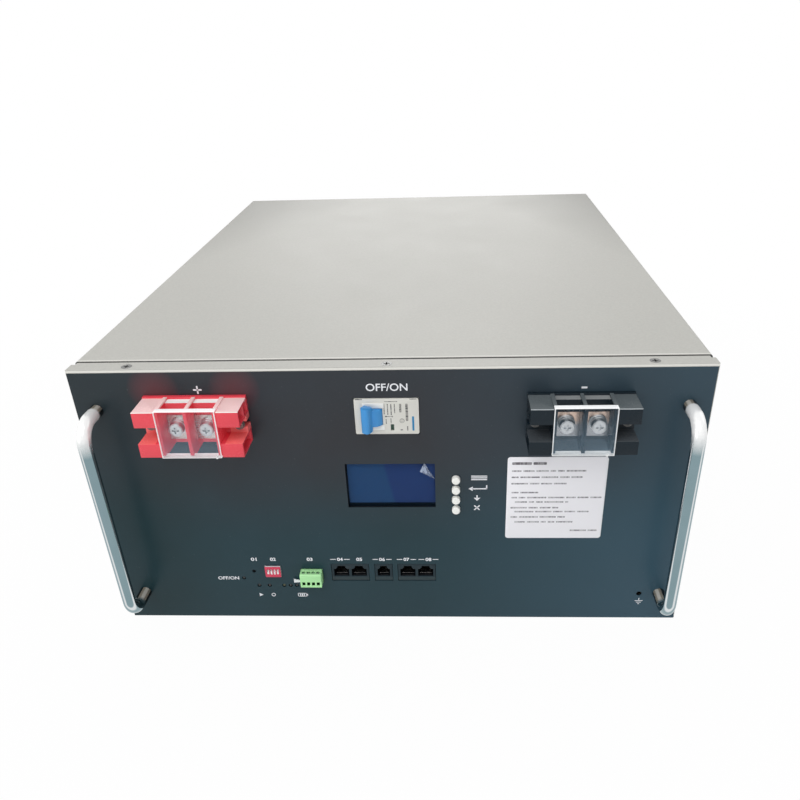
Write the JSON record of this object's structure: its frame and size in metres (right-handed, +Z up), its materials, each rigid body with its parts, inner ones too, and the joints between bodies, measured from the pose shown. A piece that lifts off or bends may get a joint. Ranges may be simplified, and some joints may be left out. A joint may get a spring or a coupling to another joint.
{
  "type": "rack battery pack",
  "caption": "Rack battery pack: folded steel case with two guarded bolt terminals, a breaker, a display with keys, network jacks, a wire plug and bow handles",
  "frame": {"origin": "centre of the underside of the case (the handles and terminals stand out in front of it)", "axes": "+X to the right seen from the front, -Y out of the front panel, +Z up"},
  "size_m": [0.442, 0.5817, 0.222],
  "materials": {
    "case_paint": "light warm grey powder coat",
    "zinc_sheet": "zinc-plated sheet steel",
    "frame_paint": "dark grey paint",
    "front_print": "satin black-blue sheet",
    "bright_screws": "zinc plated",
    "handle_chrome": "polished chrome",
    "breaker_case": "light grey moulding",
    "toggle_blue": "blue moulding",
    "flag_green": "green and red",
    "clamp_zinc": "zinc plated",
    "board_green": "solder mask",
    "black_plastic": "black moulding",
    "display_blue": "dark blue display",
    "button_ivory": "ivory moulding",
    "contact_gold": "gold plated",
    "switch_red": "red moulding",
    "slider_white": "white moulding",
    "plug_green": "light green moulding",
    "lamp_lens": "unlit smoked lens",
    "block_red": "red moulding",
    "block_black": "black moulding",
    "plate_tin": "tinned copper",
    "plate_copper": "bare copper",
    "clear_cover": "clear polycarbonate",
    "earth_brass": "yellow zinc",
    "label_white": "white film label",
    "cell_blue": "blue film",
    "aluminium": "bright aluminium",
    "copper": "copper",
    "insulation": "glass-fibre board",
    "foam": "closed-cell foam",
    "cable_black": "black insulation",
    "ribbon_grey": "grey flat cable"
  },
  "bodies": {
    "case": {"base_tray": "case_paint", "front_frame": "frame_paint", "front_panel": "case_paint", "front_fascia": "front_print", "top_cover": "case_paint", "rear_panel": "case_paint", "panel_screws": "bright_screws", "case_screws": "bright_screws", "handle_left": "handle_chrome", "handle_right": "handle_chrome", "handle_screws": "bright_screws", "breaker_body": "breaker_case", "breaker_clamps": "clamp_zinc", "din_rail": "zinc_sheet", "breaker_bracket": "zinc_sheet", "display_board": "board_green", "display_module": "black_plastic", "display_glass": "display_blue", "key_switches": "black_plastic", "comms_board": "board_green", "jack_pairs": "black_plastic", "jack_single": "black_plastic", "jack_contacts": "contact_gold", "dip_switch": "switch_red", "plug_header": "plug_green", "status_lamps": "lamp_lens", "positive_block": "block_red", "negative_block": "block_black", "positive_plate": "plate_tin", "negative_plate": "plate_copper", "terminal_bolts": "bright_screws", "block_screws": "bright_screws", "earth_insert": "earth_brass", "spec_label": "label_white", "board_spacers": "bright_screws", "cells": "cell_blue", "cell_posts": "aluminium", "cell_links": "copper", "cell_boards": "insulation", "foam_pads": "foam", "bms_bracket": "zinc_sheet", "bms_board": "board_green", "bms_heatsink": "aluminium", "power_cables": "cable_black", "signal_ribbons": "ribbon_grey"},
    "toggle": {"breaker_toggle": "toggle_blue"},
    "flag": {"breaker_flag": "flag_green"},
    "menu_key": {"menu_button_1": "button_ivory"},
    "enter_key": {"menu_button_2": "button_ivory"},
    "down_key": {"menu_button_3": "button_ivory"},
    "escape_key": {"menu_button_4": "button_ivory"},
    "dip_slider_a": {"dip_slider_1": "slider_white"},
    "dip_slider_b": {"dip_slider_2": "slider_white"},
    "dip_slider_c": {"dip_slider_3": "slider_white"},
    "dip_slider_d": {"dip_slider_4": "slider_white"},
    "reset_key": {"reset_button": "black_plastic"},
    "positive_shield": {"positive_cover": "clear_cover"},
    "negative_shield": {"negative_cover": "clear_cover"},
    "wire_plug": {"wire_plug": "plug_green", "plug_screws": "bright_screws"}
  },
  "joints": [
    {"name": "toggle_pivot", "type": "hinge", "parent": "case", "child": "toggle", "pos_m": [-0.0105, -0.2725, 0.1858], "axis": [0, 0, 1], "range_deg": [0, 56]},
    {"name": "flag_slide", "type": "slide", "parent": "case", "child": "flag", "axis": [1, 0, 0], "range_m": [0, 0.0028]},
    {"name": "menu_key_press", "type": "slide", "parent": "case", "child": "menu_key", "axis": [0, 1, 0], "range_m": [0, 0.0005], "stiffness_N_per_m": 4000, "springref_m": -0.0003},
    {"name": "enter_key_press", "type": "slide", "parent": "case", "child": "enter_key", "axis": [0, 1, 0], "range_m": [0, 0.0005], "stiffness_N_per_m": 4000, "springref_m": -0.0003},
    {"name": "down_key_press", "type": "slide", "parent": "case", "child": "down_key", "axis": [0, 1, 0], "range_m": [0, 0.0005], "stiffness_N_per_m": 4000, "springref_m": -0.0003},
    {"name": "escape_key_press", "type": "slide", "parent": "case", "child": "escape_key", "axis": [0, 1, 0], "range_m": [0, 0.0005], "stiffness_N_per_m": 4000, "springref_m": -0.0003},
    {"name": "reset_press", "type": "slide", "parent": "case", "child": "reset_key", "axis": [0, 1, 0], "range_m": [0, 0.0004], "stiffness_N_per_m": 4000, "springref_m": -0.0003},
    {"name": "dip_slide_a", "type": "slide", "parent": "case", "child": "dip_slider_a", "axis": [0, 0, 1], "range_m": [0, 0.002]},
    {"name": "dip_slide_b", "type": "slide", "parent": "case", "child": "dip_slider_b", "axis": [0, 0, 1], "range_m": [0, 0.002]},
    {"name": "dip_slide_c", "type": "slide", "parent": "case", "child": "dip_slider_c", "axis": [0, 0, 1], "range_m": [0, 0.002]},
    {"name": "dip_slide_d", "type": "slide", "parent": "case", "child": "dip_slider_d", "axis": [0, 0, 1], "range_m": [0, 0.002]},
    {"name": "positive_shield_slide", "type": "slide", "parent": "case", "child": "positive_shield", "axis": [0, -1, 0], "range_m": [0, 0.03]},
    {"name": "negative_shield_slide", "type": "slide", "parent": "case", "child": "negative_shield", "axis": [0, -1, 0], "range_m": [0, 0.03]},
    {"name": "plug_slide", "type": "slide", "parent": "case", "child": "wire_plug", "axis": [0, -1, 0], "range_m": [0, 0.014]}
  ],
  "couplings": [
    {"joint": "flag_slide", "follows": "toggle_pivot", "m_per_rad": 0.00286}
  ]
}
